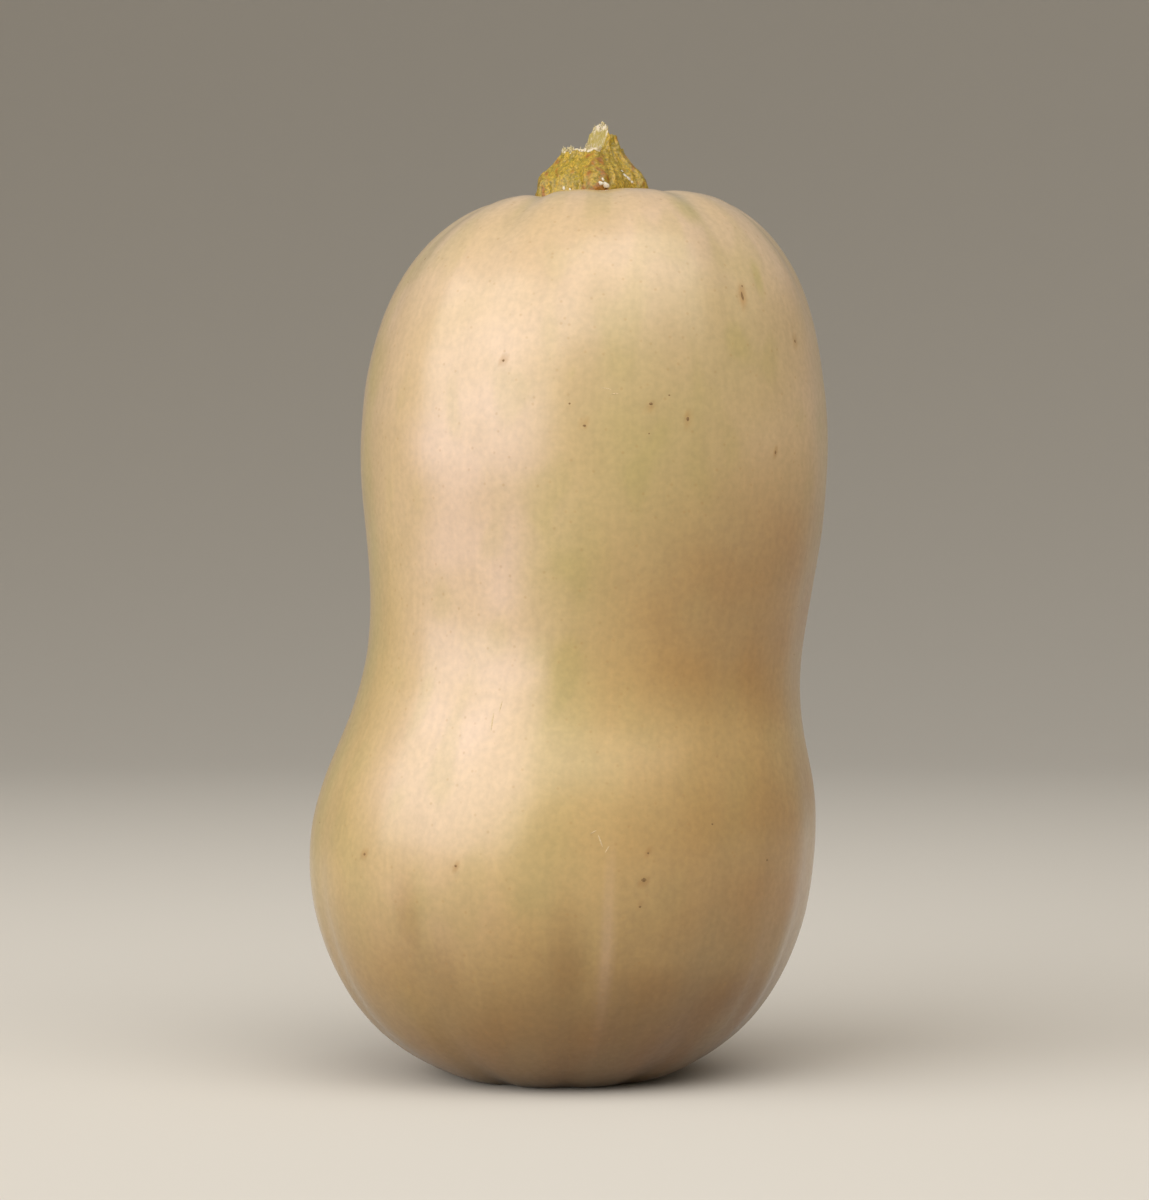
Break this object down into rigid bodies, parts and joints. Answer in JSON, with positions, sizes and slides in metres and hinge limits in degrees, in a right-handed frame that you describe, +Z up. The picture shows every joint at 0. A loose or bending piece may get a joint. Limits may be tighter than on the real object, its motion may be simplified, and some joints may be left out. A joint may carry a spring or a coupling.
{
  "type": "butternut squash",
  "caption": "Whole butternut squash with a pale, waxy, faintly ribbed skin and a short broken stem, standing on its blossom end.",
  "frame": {"origin": "on the ground, under the middle of the fruit's bounding box", "axes": "+Z up from the blossom end to the stem, +X towards the side that the neck leans to"},
  "size_m": [0.1238, 0.1178, 0.2282],
  "materials": {
    "skin": "hard, pale tan rind with a dull waxy bloom, fine streaks and a few dark specks",
    "stalk": "corky olive to orange-brown bark with pale torn fibres at the break"
  },
  "bodies": {
    "root": {"fruit": "skin", "stem": "stalk"}
  },
  "joints": []
}
